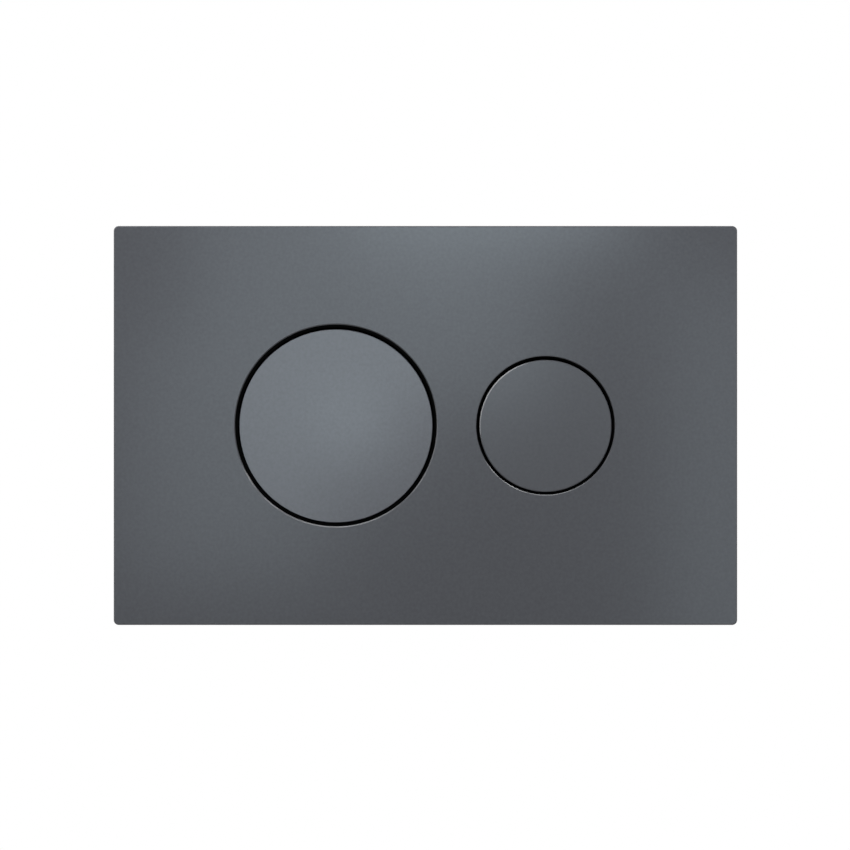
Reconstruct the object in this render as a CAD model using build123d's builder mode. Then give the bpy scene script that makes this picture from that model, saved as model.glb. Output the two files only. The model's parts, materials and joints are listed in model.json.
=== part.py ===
from build123d import *
from math import cos, hypot, pi, radians, sin, sqrt
from typing import NamedTuple
import os

# Dual flush button plate for a concealed cistern, in millimetres.
# X runs to the right as the user faces the plate, Y runs into the wall and Z is up.
# The origin lies on the finished wall, behind the middle of the plate.

# Face plate
plate_width = 250.0
plate_height = 160.0
plate_depth = 11.0
plate_wall = 2.4
plate_corner_radius = 2.0
plate_edge = 0.5
opening_edge = 0.35
plate_rib_thickness = 1.4
plate_rib_inset = 8.0
plate_rib_clearance = 2.6

# Buttons as they show in the face
full_button_diameter = 77.4
full_button_gap = 1.8
half_button_diameter = 52.9
half_button_gap = 1.35
button_land = 18.9
button_wall = 2.0
button_skirt_depth = 8.0
button_edge = 0.35
button_travel = 6.0

# Button bases: an eight-sided plate bonded in the cap, a hollow plunger and snap legs
base_fit = 0.15
base_thickness = 2.0
base_rib_thickness = 1.6
base_rib_height = 3.0
plunger_width = 24.0
plunger_corner = 4.0
plunger_wall = 1.8
plunger_projection = 1.0
leg_count = 4
leg_width = 7.0
leg_thickness = 2.0
leg_inset = 6.0
leg_barb = 1.4
leg_barb_land = 0.8
leg_nose = 3.0
leg_lead_in = 0.6
leg_clearance = 0.3
leg_catch_gap = 0.2

# Plunger guides and return springs
guide_clearance = 0.3
guide_contact = 0.1
guide_wall = 1.5
guide_length = 4.0
spring_length = 15.0
spring_wire = 1.2
spring_plunger_gap = 0.5
spring_turns = 4.0
spring_runs_per_turn = 10
spring_wire_sides = 6

# Button carrier
boss_height = 4.0
boss_radius = 3.2
carrier_thickness = 2.0
carrier_rim_height = 4.0
carrier_rim_thickness = 1.6
carrier_side_margin = 9.0
carrier_top_margin = 9.0
carrier_corner = 5.0
well_clearance = 0.8
well_wall = 1.6
well_rim_gap = 0.3
well_floor = 2.0

# Carrier screws
screw_inset = 6.5
screw_radius = 1.25
screw_head_radius = 2.8
screw_head_height = 1.9
screw_bite = 3.0
screw_pilot_clearance = 0.05
screw_pilot_spare = 0.5
screw_hole_clearance = 0.35
screw_sides = 8
screw_head_sides = 12

# Mounting frame
clip_space = 6.0
duct_wall = 2.0
duct_corner_radius = 3.0
ring_depth = 14.0
flange_margin = 6.0
flange_thickness = 3.0
flange_corner_radius = 4.0
strap_height = 26.0
strap_thickness = 3.0
strap_corner_radius = 5.0
strap_rib_height = 4.0
strap_rib_thickness = 2.0
fixing_inset = 14.0
fixing_slot_length = 14.0
fixing_slot_clearance = 0.2
strap_gusset = 8.0

# Clips that hold the cover on the frame
clip_inset = 26.0
clip_width = 12.0
clip_thickness = 0.5
clip_leg = 9.0
clip_bulge = 1.2
clip_bulge_length = 6.0
clip_window_clearance = 0.6
tongue_thickness = 2.4
tongue_wall_gap = 2.0
tongue_end = 9.0

# Push rods
rod_radius = 3.0
rod_length = 60.0
rod_guide_clearance = 0.15
rod_guide_wall = 2.0
rod_guide_length = 12.0
rod_guide_gap = 0.5
rod_guide_step = 2.0
rod_thread_clearance = 0.05
rod_gap = 0.3
rod_head_across_flats = 10.5
rod_head_sides = 8
rod_head_length = 5.0
rod_head_wall = 1.5
rod_bore_sides = 8
hex_sides = 6
locknut_across_flats = 10.0
locknut_thickness = 3.2

# Fixing screws
fixing_radius = 2.5
fixing_neck_growth = 0.1
fixing_neck_spare = 1.0
fixing_length = 50.0
fixing_head_across_flats = 13.0
fixing_head_height = 4.5

# Depths along Y that the pieces share
front_y = -plate_depth
face_back_y = front_y + plate_wall
cap_back_y = front_y + button_wall
skirt_back_y = front_y + button_skirt_depth
base_back_y = cap_back_y + base_thickness
floor_front_y = base_back_y + spring_length
floor_back_y = floor_front_y + well_floor
guide_end_y = floor_back_y + guide_length
plunger_end_y = guide_end_y + plunger_projection
well_rim_y = face_back_y + well_rim_gap
carrier_front_y = face_back_y + boss_height
carrier_back_y = carrier_front_y + carrier_thickness
rod_head_y = plunger_end_y + rod_gap
locknut_y = rod_head_y + rod_head_length
rod_guide_front_y = locknut_y + locknut_thickness + button_travel + rod_guide_gap
rod_guide_back_y = rod_guide_front_y + rod_guide_length
strap_front_y = rod_guide_front_y + rod_guide_step
strap_back_y = strap_front_y + strap_thickness


class Button(NamedTuple):
    name: str
    diameter: float
    gap: float
    x: float


# The two buttons stand as far from the plate's left edge as from its right one.
pair_width = full_button_diameter + button_land + half_button_diameter
full_button = Button(
    "full", full_button_diameter, full_button_gap, (full_button_diameter - pair_width) / 2
)
half_button = Button(
    "half", half_button_diameter, half_button_gap, (pair_width - half_button_diameter) / 2
)
buttons = (full_button, half_button)

# The buttons hang low by the play of their guides. The rods stand even about the plate's middle.
button_sag = guide_clearance - guide_contact
rod_spacing = half_button.x - full_button.x
rod_x = {"full": -rod_spacing / 2, "half": rod_spacing / 2}


def well_radius(button):
    return button.diameter / 2 + well_clearance


def leg_radius(button):
    return button.diameter / 2 - button_wall - leg_inset


# Outlines that follow from the buttons
carrier_width = pair_width + 2 * (well_clearance + well_wall + carrier_side_margin)
carrier_height = 2 * (well_radius(full_button) + well_wall + carrier_top_margin)
duct_inner_width = carrier_width + 2 * clip_space
duct_inner_height = carrier_height + 2 * clip_space
duct_width = duct_inner_width + 2 * duct_wall
duct_height = duct_inner_height + 2 * duct_wall
plate_inner_width = plate_width - 2 * plate_wall
plate_inner_height = plate_height - 2 * plate_wall
flange_width = plate_inner_width - 2 * flange_margin
flange_height = plate_inner_height - 2 * flange_margin
clip_spacing = carrier_width - 2 * clip_inset
fixing_spacing = duct_inner_width - 2 * fixing_inset
tongue_z = duct_inner_height / 2 - tongue_wall_gap - tongue_thickness / 2

# The coil's straight runs clear the plunger's corners
plunger_reach = hypot(plunger_width / 2, plunger_width / 2 - plunger_corner)
coil_inside = plunger_reach + spring_plunger_gap
coil_radius = (coil_inside + spring_wire / 2) / cos(pi / spring_runs_per_turn)

# Six screws: at the carrier's corners, and above and below the land between the wells
land_x = full_button.x + full_button.diameter / 2 + button_land / 2
screw_z = carrier_height / 2 - screw_inset
screw_columns = (screw_inset - carrier_width / 2, land_x, carrier_width / 2 - screw_inset)
screw_points = [(x, z) for x in screw_columns for z in (-screw_z, screw_z)]


def facing(y):
    """A plane at depth y that looks out of the wall: its x is X and its y is Z."""
    return Plane(origin=(0, y, 0), x_dir=(1, 0, 0), z_dir=(0, -1, 0))


def radial(button, angle):
    """A plane through a button's axis: its x runs outwards at an angle and its y into the wall."""
    turn = radians(angle)
    return Plane(
        origin=(button.x, 0, -button_sag),
        x_dir=(cos(turn), 0, sin(turn)),
        z_dir=(-sin(turn), 0, cos(turn)),
    )


def cut_rectangle(width, height, corner, growth):
    """A rectangle with its corners cut, grown all round by a clearance or a wall."""
    with BuildSketch() as outline:
        Rectangle(width + 2 * growth, height + 2 * growth)
        chamfer(outline.vertices(), corner + (2 - sqrt(2)) * growth)
    return outline.sketch


def plunger_section(growth):
    return cut_rectangle(plunger_width, plunger_width, plunger_corner, growth)


def carrier_outline(growth):
    return cut_rectangle(carrier_width, carrier_height, carrier_corner, growth)


def save(part, name):
    part.label = name
    export_step(part, f"parts/{name}.step")


os.makedirs("parts", exist_ok=True)

# Face plate
rib_height = plate_depth - plate_wall - flange_thickness - plate_rib_clearance
rib_width = plate_inner_width - 2 * plate_rib_inset
rib_reach = plate_inner_height - 2 * plate_rib_inset
with BuildPart() as face_plate:
    with BuildSketch(facing(0)):
        RectangleRounded(plate_width, plate_height, plate_corner_radius)
    extrude(amount=plate_depth)
    chamfer(face_plate.faces().sort_by(Axis.Y)[0].edges(), plate_edge)
    with BuildSketch(facing(0)):
        Rectangle(plate_inner_width, plate_inner_height)
    extrude(amount=plate_depth - plate_wall, mode=Mode.SUBTRACT)
    with BuildSketch(facing(face_back_y)):
        for button in buttons:
            with Locations((button.x, 0)):
                Circle(button.diameter / 2 + button.gap)
    extrude(amount=plate_wall, mode=Mode.SUBTRACT)
    front_face = face_plate.faces().filter_by(Axis.Y).sort_by(Axis.Y)[0]
    chamfer(front_face.inner_wires().edges(), opening_edge)
    with BuildSketch(facing(face_back_y + rib_height)):
        with GridLocations(0, rib_reach, 1, 2):
            Rectangle(rib_width, plate_rib_thickness)
        with GridLocations(rib_width, 0, 2, 1):
            Rectangle(plate_rib_thickness, rib_reach)
    extrude(amount=rib_height)
    with BuildSketch(facing(tongue_end)):
        with GridLocations(clip_spacing, 2 * tongue_z, 2, 2):
            Rectangle(clip_width, tongue_thickness)
    extrude(amount=tongue_end - face_back_y)
    with BuildSketch(facing(carrier_front_y)):
        with Locations(*screw_points):
            RegularPolygon(boss_radius, screw_sides)
    extrude(amount=boss_height)
    with BuildSketch(facing(carrier_front_y)):
        with Locations(*screw_points):
            RegularPolygon(screw_radius + screw_pilot_clearance, screw_sides)
    extrude(amount=screw_bite + screw_pilot_spare, mode=Mode.SUBTRACT)
save(face_plate.part, "face_plate")

# Button carrier: a ribbed tray with a cup behind each button. Its slots let the barbs bend inwards.
leg_slot_depth = leg_thickness + 2 * leg_clearance + leg_barb
with BuildPart() as button_carrier:
    with BuildSketch(facing(carrier_back_y)):
        add(carrier_outline(0))
    extrude(amount=carrier_thickness)
    with BuildSketch(facing(carrier_back_y + carrier_rim_height)):
        add(carrier_outline(0))
        add(carrier_outline(-carrier_rim_thickness), mode=Mode.SUBTRACT)
        Rectangle(carrier_width - carrier_rim_thickness, carrier_rim_thickness)
        for button in buttons:
            with Locations((button.x, 0)):
                Rectangle(carrier_rim_thickness, carrier_height - carrier_rim_thickness)
    extrude(amount=carrier_rim_height)
    for button in buttons:
        with BuildSketch(facing(floor_back_y)):
            with Locations((button.x, 0)):
                Circle(well_radius(button) + well_wall)
        extrude(amount=floor_back_y - well_rim_y)
        with BuildSketch(facing(guide_end_y)):
            with Locations((button.x, 0)):
                add(plunger_section(guide_clearance + guide_wall))
        extrude(amount=guide_length)
    for button in buttons:
        with BuildSketch(facing(floor_front_y)):
            with Locations((button.x, 0)):
                Circle(well_radius(button))
        extrude(amount=floor_front_y - well_rim_y, mode=Mode.SUBTRACT)
        with BuildSketch(facing(guide_end_y)):
            with Locations((button.x, 0)):
                add(plunger_section(guide_clearance))
        extrude(amount=well_floor + guide_length, mode=Mode.SUBTRACT)
        with BuildSketch(facing(floor_back_y)):
            with Locations((button.x, 0)):
                with PolarLocations(leg_radius(button) - leg_barb / 2, leg_count):
                    Rectangle(leg_slot_depth, leg_width + 2 * leg_clearance)
        extrude(amount=well_floor, mode=Mode.SUBTRACT)
    with BuildSketch(facing(carrier_back_y)):
        with Locations(*screw_points):
            RegularPolygon(screw_radius + screw_hole_clearance, screw_sides)
    extrude(amount=carrier_thickness, mode=Mode.SUBTRACT)
save(button_carrier.part, "button_carrier")

# Carrier screws
with BuildPart() as carrier_screws:
    with BuildSketch(facing(carrier_back_y)):
        with Locations(*screw_points):
            RegularPolygon(screw_radius, screw_sides)
    extrude(amount=carrier_thickness + screw_bite)
    with BuildSketch(facing(carrier_back_y + screw_head_height)):
        with Locations(*screw_points):
            RegularPolygon(screw_head_radius, screw_head_sides)
    extrude(amount=screw_head_height)
save(carrier_screws.part, "carrier_screws")


def button_cap(button):
    """The painted cap: a flat face with a skirt round it."""
    with BuildPart() as cap:
        with BuildSketch(facing(skirt_back_y)):
            with Locations((button.x, -button_sag)):
                Circle(button.diameter / 2)
        extrude(amount=button_skirt_depth)
        chamfer(cap.faces().sort_by(Axis.Y)[0].edges(), button_edge)
        with BuildSketch(facing(skirt_back_y)):
            with Locations((button.x, -button_sag)):
                Circle(button.diameter / 2 - button_wall)
        extrude(amount=button_skirt_depth - button_wall, mode=Mode.SUBTRACT)
    return cap.part


def leg_outline(button):
    """A snap leg in section, as points outwards from the button's axis and into the wall."""
    inner = leg_radius(button) - leg_thickness / 2
    outer = leg_radius(button) + leg_thickness / 2
    catch_y = floor_back_y + leg_catch_gap
    return [
        (inner, base_back_y - base_thickness / 2),
        (outer, base_back_y - base_thickness / 2),
        (outer, catch_y),
        (outer + leg_barb, catch_y),
        (outer + leg_barb, catch_y + leg_barb_land),
        (outer - leg_lead_in, catch_y + leg_nose),
        (inner, catch_y + leg_nose),
    ]


def button_base(button):
    """The base in the cap: plate, ribs, hollow plunger and snap legs with their barbs outwards."""
    corner_radius = button.diameter / 2 - button_wall - base_fit
    rib_start = coil_radius + spring_wire / 2 + leg_clearance
    rib_length = corner_radius - base_rib_thickness - rib_start
    with BuildPart() as base:
        with BuildSketch(facing(base_back_y)):
            with Locations((button.x, -button_sag)):
                RegularPolygon(corner_radius, 2 * leg_count)
        extrude(amount=base_thickness)
        with BuildSketch(facing(plunger_end_y)):
            with Locations((button.x, -button_sag)):
                add(plunger_section(0))
        extrude(amount=plunger_end_y - base_back_y)
        with BuildSketch(facing(plunger_end_y - plunger_wall)):
            with Locations((button.x, -button_sag)):
                add(plunger_section(-plunger_wall))
        extrude(amount=plunger_end_y - plunger_wall - cap_back_y, mode=Mode.SUBTRACT)
        for leg in range(leg_count):
            with BuildSketch(radial(button, leg * 360 / leg_count)):
                with BuildLine():
                    Polyline(*leg_outline(button), close=True)
                make_face()
            extrude(amount=leg_width / 2, both=True)
        with BuildSketch(facing(base_back_y + base_rib_height)):
            with Locations((button.x, -button_sag)):
                with PolarLocations(rib_start + rib_length / 2, leg_count, 180 / leg_count):
                    Rectangle(rib_length, base_rib_thickness)
        extrude(amount=base_rib_height)
    return base.part


def return_spring(button):
    """The coil in short straight runs of an even-sided wire, which keeps its facets few."""
    rise = spring_length - spring_wire
    runs = round(spring_turns * spring_runs_per_turn)
    points = []
    for run in range(runs + 1):
        turn = 2 * pi * run / spring_runs_per_turn
        depth = base_back_y + spring_wire / 2 + rise * run / runs
        points.append(
            (button.x + coil_radius * cos(turn), depth, coil_radius * sin(turn) - button_sag / 2)
        )
    with BuildPart() as spring:
        with BuildLine():
            coil = Polyline(*points)
        with BuildSketch(Plane(origin=coil @ 0, z_dir=coil % 0)):
            RegularPolygon(spring_wire / 2, spring_wire_sides)
        sweep(transition=Transition.RIGHT)
    return spring.part


def rod_bore(mode=Mode.ADD):
    """The threaded bore of a head or nut, with few sides, whose flats clear the rod."""
    RegularPolygon(rod_radius + rod_thread_clearance, rod_bore_sides, False, mode=mode)


def rod_head(x):
    """The adjusting head on a rod's front end, a blind cap."""
    with BuildPart() as head:
        with BuildSketch(facing(locknut_y)):
            with Locations((x, 0)):
                RegularPolygon(rod_head_across_flats / 2, rod_head_sides, major_radius=False)
        extrude(amount=rod_head_length)
        with BuildSketch(facing(locknut_y)):
            with Locations((x, 0)):
                rod_bore()
        extrude(amount=rod_head_length - rod_head_wall, mode=Mode.SUBTRACT)
    return head.part


def rod_locknut(x):
    """The six-sided nut behind a rod's head."""
    with BuildPart() as nut:
        with BuildSketch(facing(locknut_y + locknut_thickness)):
            with Locations((x, 0)):
                RegularPolygon(locknut_across_flats / 2, hex_sides, major_radius=False)
                rod_bore(Mode.SUBTRACT)
        extrude(amount=locknut_thickness)
    return nut.part


def push_rod(x):
    """The rod from inside its head to the tip that meets the flush valve's lever."""
    start = rod_head_y + rod_head_wall
    with BuildPart() as rod:
        with BuildSketch(facing(start + rod_length)):
            with Locations((x, 0)):
                Circle(rod_radius)
        extrude(amount=rod_length)
    return rod.part


for button in buttons:
    x = rod_x[button.name]
    save(button_cap(button), f"{button.name}_button_cap")
    save(button_base(button), f"{button.name}_button_base")
    save(return_spring(button), f"{button.name}_button_spring")
    save(push_rod(x), f"{button.name}_push_rod")
    save(rod_head(x), f"{button.name}_rod_head")
    save(rod_locknut(x), f"{button.name}_rod_locknut")

# Mounting frame: a flange on the tiles, a ring in the wall opening and a strap across the back
bulge_y = tongue_end - clip_leg / 2
window_length = clip_bulge_length + 2 * clip_window_clearance
rod_guide_width = 2 * (rod_radius + rod_guide_clearance + rod_guide_wall)
fixing_neck_radius = fixing_radius + fixing_neck_growth
fixing_slot_radius = fixing_neck_radius + fixing_slot_clearance
gusset_z = strap_height / 2 - strap_rib_thickness
with BuildPart() as mounting_frame:
    with BuildSketch(facing(0)):
        RectangleRounded(flange_width, flange_height, flange_corner_radius)
    extrude(amount=flange_thickness)
    with BuildSketch(facing(ring_depth)):
        RectangleRounded(duct_width, duct_height, duct_corner_radius)
    extrude(amount=ring_depth)
    with BuildSketch(facing(ring_depth)):
        Rectangle(duct_inner_width, duct_inner_height)
    extrude(amount=ring_depth + flange_thickness, mode=Mode.SUBTRACT)
    with BuildSketch(Plane.XY) as strap_outline:
        with Locations((0, strap_back_y / 2)):
            Rectangle(duct_width, strap_back_y)
        fillet(strap_outline.vertices().group_by(Axis.Y)[-1], strap_corner_radius)
        with Locations((0, strap_front_y / 2)):
            Rectangle(duct_inner_width, strap_front_y, mode=Mode.SUBTRACT)
    extrude(amount=strap_height / 2, both=True)
    for side in (-1, 1):
        corner_x = side * duct_inner_width / 2
        for low_z in (-strap_height / 2, gusset_z):
            with BuildSketch(Plane.XY.offset(low_z)):
                with BuildLine():
                    Polyline(
                        (corner_x, strap_front_y),
                        (corner_x - side * strap_gusset, strap_front_y),
                        (corner_x, strap_front_y - strap_gusset),
                        close=True,
                    )
                make_face()
            extrude(amount=strap_rib_thickness)
    with BuildSketch(facing(strap_back_y + strap_rib_height)):
        with GridLocations(0, strap_height - strap_rib_thickness, 1, 2):
            Rectangle(duct_width - 2 * strap_corner_radius, strap_rib_thickness)
    extrude(amount=strap_rib_height)
    with BuildSketch(facing(rod_guide_back_y)):
        with GridLocations(rod_spacing, 0, 2, 1):
            Rectangle(rod_guide_width, rod_guide_width)
    extrude(amount=rod_guide_length)
    with BuildSketch(facing(rod_guide_back_y)):
        with GridLocations(rod_spacing, 0, 2, 1):
            Circle(rod_radius + rod_guide_clearance)
    extrude(amount=rod_guide_length, mode=Mode.SUBTRACT)
    with BuildSketch(facing(strap_back_y)):
        with GridLocations(fixing_spacing, 0, 2, 1):
            SlotOverall(fixing_slot_length, 2 * fixing_slot_radius, rotation=90)
    extrude(amount=strap_thickness, mode=Mode.SUBTRACT)
    with BuildSketch(Plane.XY):
        with Locations((0, bulge_y)):
            with GridLocations(clip_spacing, 0, 2, 1):
                Rectangle(clip_width + 2 * clip_window_clearance, window_length)
    extrude(amount=duct_height / 2 + duct_wall, both=True, mode=Mode.SUBTRACT)
save(mounting_frame.part, "mounting_frame")


def cover_clip(x, side):
    """A strip folded over a tongue of the face plate, with a bulge that springs into the frame."""
    inner = tongue_z - tongue_thickness / 2
    outer = tongue_z + tongue_thickness / 2
    peak = duct_inner_height / 2 + clip_bulge - clip_thickness
    with BuildPart() as clip:
        with BuildSketch(Plane(origin=(x, 0, 0), x_dir=(0, 0, side), z_dir=(-side, 0, 0))):
            with BuildLine():
                Polyline(
                    (inner, tongue_end - clip_leg),
                    (inner, tongue_end),
                    (outer, tongue_end),
                    (outer, bulge_y + clip_bulge_length / 2),
                    (peak, bulge_y),
                    (outer, bulge_y - clip_bulge_length / 2),
                )
                offset(amount=clip_thickness, kind=Kind.INTERSECTION, side=Side.RIGHT)
            make_face()
        extrude(amount=clip_width / 2, both=True)
    return clip.part


for height_name, side in (("top", 1), ("bottom", -1)):
    for side_name, x in (("left", -clip_spacing / 2), ("right", clip_spacing / 2)):
        save(cover_clip(x, side), f"{height_name}_{side_name}_clip")

# Fixing screws, each with a six-sided head that bears on both sides of its slot
fixing_end_y = strap_front_y + fixing_length
fixing_neck_y = strap_back_y + fixing_neck_spare
with BuildPart() as fixing_screws:
    with BuildSketch(facing(fixing_end_y)):
        with GridLocations(fixing_spacing, 0, 2, 1):
            Circle(fixing_radius)
    extrude(amount=fixing_end_y - fixing_neck_y)
    with BuildSketch(facing(fixing_neck_y)):
        with GridLocations(fixing_spacing, 0, 2, 1):
            RegularPolygon(fixing_neck_radius, screw_sides)
    extrude(amount=fixing_neck_y - strap_front_y)
    with BuildSketch(facing(strap_front_y)):
        with GridLocations(fixing_spacing, 0, 2, 1):
            RegularPolygon(fixing_head_across_flats / 2, hex_sides, major_radius=False)
    extrude(amount=fixing_head_height)
save(fixing_screws.part, "fixing_screws")
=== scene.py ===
# %% [markdown]
# # A dual flush plate, dressed in Blender
# The part is the wall plate of a concealed cistern, with a large and a small push button. Its solids
# are drawn in CAD and packed as a frame that is in place and at its size, in metres. X runs to the
# right, Y runs into the wall and Z is up. This lesson loads that frame, models a finer piece over each
# solid, gives each piece its finish, and then lights the plate and sets a camera square in front of it.

# %% Load the frame
import json
import math

import bmesh
import bpy
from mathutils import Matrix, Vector

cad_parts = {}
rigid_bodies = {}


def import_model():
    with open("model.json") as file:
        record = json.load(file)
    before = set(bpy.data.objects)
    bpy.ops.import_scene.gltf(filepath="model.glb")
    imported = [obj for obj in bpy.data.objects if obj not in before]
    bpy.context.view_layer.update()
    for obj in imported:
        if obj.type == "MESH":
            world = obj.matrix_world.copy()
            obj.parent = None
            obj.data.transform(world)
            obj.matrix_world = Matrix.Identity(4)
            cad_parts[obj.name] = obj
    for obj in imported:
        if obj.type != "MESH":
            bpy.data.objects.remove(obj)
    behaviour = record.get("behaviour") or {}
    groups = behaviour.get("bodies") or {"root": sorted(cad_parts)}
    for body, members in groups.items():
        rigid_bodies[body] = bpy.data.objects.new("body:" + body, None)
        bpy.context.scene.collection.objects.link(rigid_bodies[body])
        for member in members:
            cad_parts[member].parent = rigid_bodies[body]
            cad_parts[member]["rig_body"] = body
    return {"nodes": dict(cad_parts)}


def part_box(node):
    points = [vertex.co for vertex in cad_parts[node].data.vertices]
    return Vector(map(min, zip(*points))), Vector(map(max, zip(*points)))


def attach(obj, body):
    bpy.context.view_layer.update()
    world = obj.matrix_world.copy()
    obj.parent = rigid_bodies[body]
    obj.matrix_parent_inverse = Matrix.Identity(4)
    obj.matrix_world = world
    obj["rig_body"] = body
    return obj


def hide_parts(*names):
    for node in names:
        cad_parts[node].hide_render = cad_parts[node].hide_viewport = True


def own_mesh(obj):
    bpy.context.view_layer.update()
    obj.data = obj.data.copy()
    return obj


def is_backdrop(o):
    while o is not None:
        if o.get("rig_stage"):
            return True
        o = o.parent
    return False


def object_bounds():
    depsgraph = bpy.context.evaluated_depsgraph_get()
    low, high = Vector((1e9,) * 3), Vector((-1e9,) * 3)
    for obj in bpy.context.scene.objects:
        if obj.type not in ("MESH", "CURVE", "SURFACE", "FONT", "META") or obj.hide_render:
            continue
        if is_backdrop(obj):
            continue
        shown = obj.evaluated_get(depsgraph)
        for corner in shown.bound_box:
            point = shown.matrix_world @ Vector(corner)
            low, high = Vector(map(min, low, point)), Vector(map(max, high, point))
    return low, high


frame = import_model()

cad_box = [list(corner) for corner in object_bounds()]
mm = 0.001

# %% [markdown]
# ## Hands: taking hold of a piece
# Every operator acts on what is selected, and the solids are still selected after loading. A hand
# modeller clicks in the empty view first, then on one piece, then on a few of its faces. These small
# helpers do the same in code. Faces and edges are found by their place or their normal, so the
# selection stays right when a size changes.

# %% Selecting pieces, faces and edges
def let_go():
    """Leaves edit mode and deselects every object."""
    if bpy.context.mode != "OBJECT":
        bpy.ops.object.mode_set(mode="OBJECT")
    bpy.ops.object.select_all(action="DESELECT")


def take(piece):
    """Makes one piece the only selected and the active one."""
    let_go()
    piece.select_set(True)
    bpy.context.view_layer.objects.active = piece


def open_mesh(piece):
    take(piece)
    bpy.ops.object.mode_set(mode="EDIT")


def close_mesh():
    bpy.ops.object.mode_set(mode="OBJECT")


def pick(kind, test):
    """Selects those verts, edges or faces of the open mesh that pass a test, and no others."""
    modes = [kind == name for name in ("verts", "edges", "faces")]
    bpy.context.tool_settings.mesh_select_mode = modes
    bpy.ops.mesh.select_all(action="DESELECT")
    mesh = bpy.context.object.data
    shape = bmesh.from_edit_mesh(mesh)
    chosen = [element for element in getattr(shape, kind) if test(element)]
    for element in chosen:
        element.select_set(True)
    shape.select_flush_mode()
    bmesh.update_edit_mesh(mesh)
    return len(chosen)


near = 0.01 * mm
square_on = 0.9


def at_depth(edge, y):
    return all(abs(vertex.co.y - y) < near for vertex in edge.verts)


def runs_along_y(edge):
    start, end = (vertex.co for vertex in edge.verts)
    return abs(end.y - start.y) > square_on * (end - start).length


def looks_back(face):
    return face.normal.y > square_on


def looks_forward(face):
    return face.normal.y < -square_on


def distance_from(point, x, z):
    """How far a point lies from an axis that runs into the wall at x and z."""
    return math.hypot(point.x - x, point.z - z)


# %% [markdown]
# ## Hands: stock to model from
# Most of the plate is turned, moulded or folded, so two kinds of stock are enough: a block and a round
# or many-sided bar that points into the wall. Each is a primitive added at its size and place. Its
# transform is then applied, which leaves the object at the origin with its place in its mesh, as a
# solid of the frame has it. A cutting tool runs a little past the face it cuts, and a piece that is
# grown onto another starts a little inside it, because faces that only just meet confuse a Boolean.

# %% Adding stock and joining it
overcut = 1.0 * mm


def apply_place():
    bpy.ops.object.transform_apply(location=True, rotation=True, scale=True)


def add_block(name, low, high):
    let_go()
    low = Vector(low)
    high = Vector(high)
    bpy.ops.mesh.primitive_cube_add(size=1, location=(low + high) / 2)
    piece = bpy.context.object
    piece.name = name
    piece.scale = high - low
    apply_place()
    return piece


def add_bar(name, x, z, front, back, radius, sides, turn=0.0):
    """A bar along Y. Its sides start above its axis, and a turn brings them elsewhere."""
    let_go()
    bpy.ops.mesh.primitive_cylinder_add(
        vertices=sides,
        radius=radius,
        depth=back - front,
        location=(x, (front + back) / 2, z),
        rotation=(math.pi / 2, turn, 0),
    )
    piece = bpy.context.object
    piece.name = name
    apply_place()
    return piece


def combine(piece, tool, how, tool_crosses_itself=False):
    """Cuts, trims or grows a piece with another one, which is used up."""
    take(piece)
    step = piece.modifiers.new("combine", "BOOLEAN")
    step.operation = how
    step.solver = "EXACT"
    step.use_self = tool_crosses_itself
    step.object = tool
    bpy.ops.object.modifier_apply(modifier=step.name)
    bpy.data.objects.remove(tool, do_unlink=True)


def join(name, pieces):
    let_go()
    for piece in pieces:
        piece.select_set(True)
    bpy.context.view_layer.objects.active = pieces[0]
    bpy.ops.object.join()
    pieces[0].name = name
    return pieces[0]


def copy_to(piece, shift):
    """A copy with its own mesh, moved by a shift that goes into the mesh."""
    take(piece)
    bpy.ops.object.duplicate(linked=False)
    bpy.ops.transform.translate(value=shift)
    apply_place()
    return bpy.context.object


# %% [markdown]
# ## Hands: the last touches
# A moulded or painted edge is smooth, while a folded or machined one keeps its crease. Smoothing by
# angle keeps the creases, and weighted normals keep a large flat face flat right up to its small
# rounded edge, where plain smoothing would bend the reflections. The last helper ties a piece to the
# solid that it stands for: it rides on that solid's body, and the solid is hidden.

# %% Smoothing and tying a piece to its solid
usual_crease = 30


def smooth(piece, crease=usual_crease):
    """Shades smooth across every edge that turns by less than the crease, in degrees."""
    take(piece)
    bpy.ops.object.shade_smooth_by_angle(angle=math.radians(crease))
    step = piece.modifiers.new("even normals", "WEIGHTED_NORMAL")
    step.keep_sharp = True
    bpy.ops.object.modifier_apply(modifier=step.name)


def stand_for(piece, node):
    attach(piece, frame["nodes"][node]["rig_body"])
    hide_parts(node)
    corners = [vertex.co for vertex in piece.data.vertices]
    size = [max(c[i] for c in corners) - min(c[i] for c in corners) for i in range(3)]
    size_mm = " x ".join(f"{length / mm:.1f}" for length in size)
    print(f"{piece.name} stands for {node}: {size_mm} mm, {len(piece.data.polygons)} faces")


# %% [markdown]
# ## A shared effect: grain
# No moulded or painted face is one even colour. Paint has a fine orange peel, a mould leaves a spark
# texture, and a thick plastic wall is a little cloudy. All of them are noise at two sizes, so the noise
# is made once, as a node group with a fine and a broad output, and each finish sets its own sizes. The
# coordinates are the object's own, in metres, so a scale of 1000 gives marks about a millimetre wide.

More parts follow.
